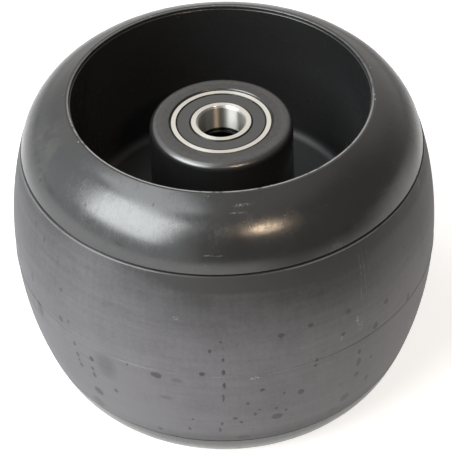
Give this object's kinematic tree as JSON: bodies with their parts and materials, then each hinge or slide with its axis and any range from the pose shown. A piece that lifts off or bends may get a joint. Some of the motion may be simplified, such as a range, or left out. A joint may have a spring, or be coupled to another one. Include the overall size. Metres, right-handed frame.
{
  "type": "wheel",
  "caption": "Barrel-shaped mower deck wheel: black moulded core with a deep cup at each end, rubber tread band and sealed ball bearings in the hub.",
  "frame": {"origin": "on the wheel's axis, midway between its two ends", "axes": "+Z along the wheel's axis, up as it stands on its rim; the wheel is round, so X and Y are free"},
  "size_m": [0.1502, 0.1502, 0.1174],
  "materials": {
    "core_plastic": "satin",
    "tread_rubber": "matte with bloom",
    "race_steel": "ground",
    "ball_steel": "polished",
    "cage_steel": "ground",
    "spacer_steel": "ground",
    "seal_rubber": "smooth satin"
  },
  "bodies": {
    "wheel": {"wheel_core": "core_plastic", "tread_band": "tread_rubber", "outer_race_top": "race_steel", "seal_outer_top": "seal_rubber", "seal_inner_top": "seal_rubber", "outer_race_bottom": "race_steel", "seal_outer_bottom": "seal_rubber", "seal_inner_bottom": "seal_rubber"},
    "axle_set": {"spacer_tube": "spacer_steel", "inner_race_top": "race_steel", "inner_race_bottom": "race_steel"},
    "cage_top": {"cage_outer_top": "cage_steel", "cage_inner_top": "cage_steel", "cage_rivets_top": "cage_steel"},
    "cage_bottom": {"cage_outer_bottom": "cage_steel", "cage_inner_bottom": "cage_steel", "cage_rivets_bottom": "cage_steel"},
    "ball_top_1": {"ball_top_1": "ball_steel"},
    "ball_top_2": {"ball_top_2": "ball_steel"},
    "ball_top_3": {"ball_top_3": "ball_steel"},
    "ball_top_4": {"ball_top_4": "ball_steel"},
    "ball_top_5": {"ball_top_5": "ball_steel"},
    "ball_top_6": {"ball_top_6": "ball_steel"},
    "ball_top_7": {"ball_top_7": "ball_steel"},
    "ball_top_8": {"ball_top_8": "ball_steel"},
    "ball_bottom_1": {"ball_bottom_1": "ball_steel"},
    "ball_bottom_2": {"ball_bottom_2": "ball_steel"},
    "ball_bottom_3": {"ball_bottom_3": "ball_steel"},
    "ball_bottom_4": {"ball_bottom_4": "ball_steel"},
    "ball_bottom_5": {"ball_bottom_5": "ball_steel"},
    "ball_bottom_6": {"ball_bottom_6": "ball_steel"},
    "ball_bottom_7": {"ball_bottom_7": "ball_steel"},
    "ball_bottom_8": {"ball_bottom_8": "ball_steel"}
  },
  "joints": [
    {"name": "axle_spin", "type": "hinge", "parent": "wheel", "child": "axle_set", "pos_m": [0, 0, 0], "axis": [0, 0, 1], "continuous": true},
    {"name": "cage_top_spin", "type": "hinge", "parent": "wheel", "child": "cage_top", "pos_m": [0, 0, 0], "axis": [0, 0, 1], "continuous": true},
    {"name": "ball_top_1_spin", "type": "hinge", "parent": "cage_top", "child": "ball_top_1", "pos_m": [0.00899, 0.00899, 0.04065], "axis": [0, 0, 1], "continuous": true},
    {"name": "ball_top_2_spin", "type": "hinge", "parent": "cage_top", "child": "ball_top_2", "pos_m": [0, 0.01272, 0.04065], "axis": [0, 0, 1], "continuous": true},
    {"name": "ball_top_3_spin", "type": "hinge", "parent": "cage_top", "child": "ball_top_3", "pos_m": [-0.00899, 0.00899, 0.04065], "axis": [0, 0, 1], "continuous": true},
    {"name": "ball_top_4_spin", "type": "hinge", "parent": "cage_top", "child": "ball_top_4", "pos_m": [-0.01272, 0, 0.04065], "axis": [0, 0, 1], "continuous": true},
    {"name": "ball_top_5_spin", "type": "hinge", "parent": "cage_top", "child": "ball_top_5", "pos_m": [-0.00899, -0.00899, 0.04065], "axis": [0, 0, 1], "continuous": true},
    {"name": "ball_top_6_spin", "type": "hinge", "parent": "cage_top", "child": "ball_top_6", "pos_m": [0, -0.01272, 0.04065], "axis": [0, 0, 1], "continuous": true},
    {"name": "ball_top_7_spin", "type": "hinge", "parent": "cage_top", "child": "ball_top_7", "pos_m": [0.00899, -0.00899, 0.04065], "axis": [0, 0, 1], "continuous": true},
    {"name": "ball_top_8_spin", "type": "hinge", "parent": "cage_top", "child": "ball_top_8", "pos_m": [0.01272, 0, 0.04065], "axis": [0, 0, 1], "continuous": true},
    {"name": "cage_bottom_spin", "type": "hinge", "parent": "wheel", "child": "cage_bottom", "pos_m": [0, 0, 0], "axis": [0, 0, 1], "continuous": true},
    {"name": "ball_bottom_1_spin", "type": "hinge", "parent": "cage_bottom", "child": "ball_bottom_1", "pos_m": [0.00899, 0.00899, -0.04065], "axis": [0, 0, 1], "continuous": true},
    {"name": "ball_bottom_2_spin", "type": "hinge", "parent": "cage_bottom", "child": "ball_bottom_2", "pos_m": [0, 0.01272, -0.04065], "axis": [0, 0, 1], "continuous": true},
    {"name": "ball_bottom_3_spin", "type": "hinge", "parent": "cage_bottom", "child": "ball_bottom_3", "pos_m": [-0.00899, 0.00899, -0.04065], "axis": [0, 0, 1], "continuous": true},
    {"name": "ball_bottom_4_spin", "type": "hinge", "parent": "cage_bottom", "child": "ball_bottom_4", "pos_m": [-0.01272, 0, -0.04065], "axis": [0, 0, 1], "continuous": true},
    {"name": "ball_bottom_5_spin", "type": "hinge", "parent": "cage_bottom", "child": "ball_bottom_5", "pos_m": [-0.00899, -0.00899, -0.04065], "axis": [0, 0, 1], "continuous": true},
    {"name": "ball_bottom_6_spin", "type": "hinge", "parent": "cage_bottom", "child": "ball_bottom_6", "pos_m": [0, -0.01272, -0.04065], "axis": [0, 0, 1], "continuous": true},
    {"name": "ball_bottom_7_spin", "type": "hinge", "parent": "cage_bottom", "child": "ball_bottom_7", "pos_m": [0.00899, -0.00899, -0.04065], "axis": [0, 0, 1], "continuous": true},
    {"name": "ball_bottom_8_spin", "type": "hinge", "parent": "cage_bottom", "child": "ball_bottom_8", "pos_m": [0.01272, 0, -0.04065], "axis": [0, 0, 1], "continuous": true}
  ],
  "couplings": [
    {"joint": "cage_top_spin", "follows": "axle_spin", "ratio": 0.38299},
    {"joint": "ball_top_1_spin", "follows": "axle_spin", "ratio": -2.0195},
    {"joint": "ball_top_2_spin", "follows": "axle_spin", "ratio": -2.0195},
    {"joint": "ball_top_3_spin", "follows": "axle_spin", "ratio": -2.0195},
    {"joint": "ball_top_4_spin", "follows": "axle_spin", "ratio": -2.0195},
    {"joint": "ball_top_5_spin", "follows": "axle_spin", "ratio": -2.0195},
    {"joint": "ball_top_6_spin", "follows": "axle_spin", "ratio": -2.0195},
    {"joint": "ball_top_7_spin", "follows": "axle_spin", "ratio": -2.0195},
    {"joint": "ball_top_8_spin", "follows": "axle_spin", "ratio": -2.0195},
    {"joint": "cage_bottom_spin", "follows": "axle_spin", "ratio": 0.38299},
    {"joint": "ball_bottom_1_spin", "follows": "axle_spin", "ratio": -2.0195},
    {"joint": "ball_bottom_2_spin", "follows": "axle_spin", "ratio": -2.0195},
    {"joint": "ball_bottom_3_spin", "follows": "axle_spin", "ratio": -2.0195},
    {"joint": "ball_bottom_4_spin", "follows": "axle_spin", "ratio": -2.0195},
    {"joint": "ball_bottom_5_spin", "follows": "axle_spin", "ratio": -2.0195},
    {"joint": "ball_bottom_6_spin", "follows": "axle_spin", "ratio": -2.0195},
    {"joint": "ball_bottom_7_spin", "follows": "axle_spin", "ratio": -2.0195},
    {"joint": "ball_bottom_8_spin", "follows": "axle_spin", "ratio": -2.0195}
  ]
}
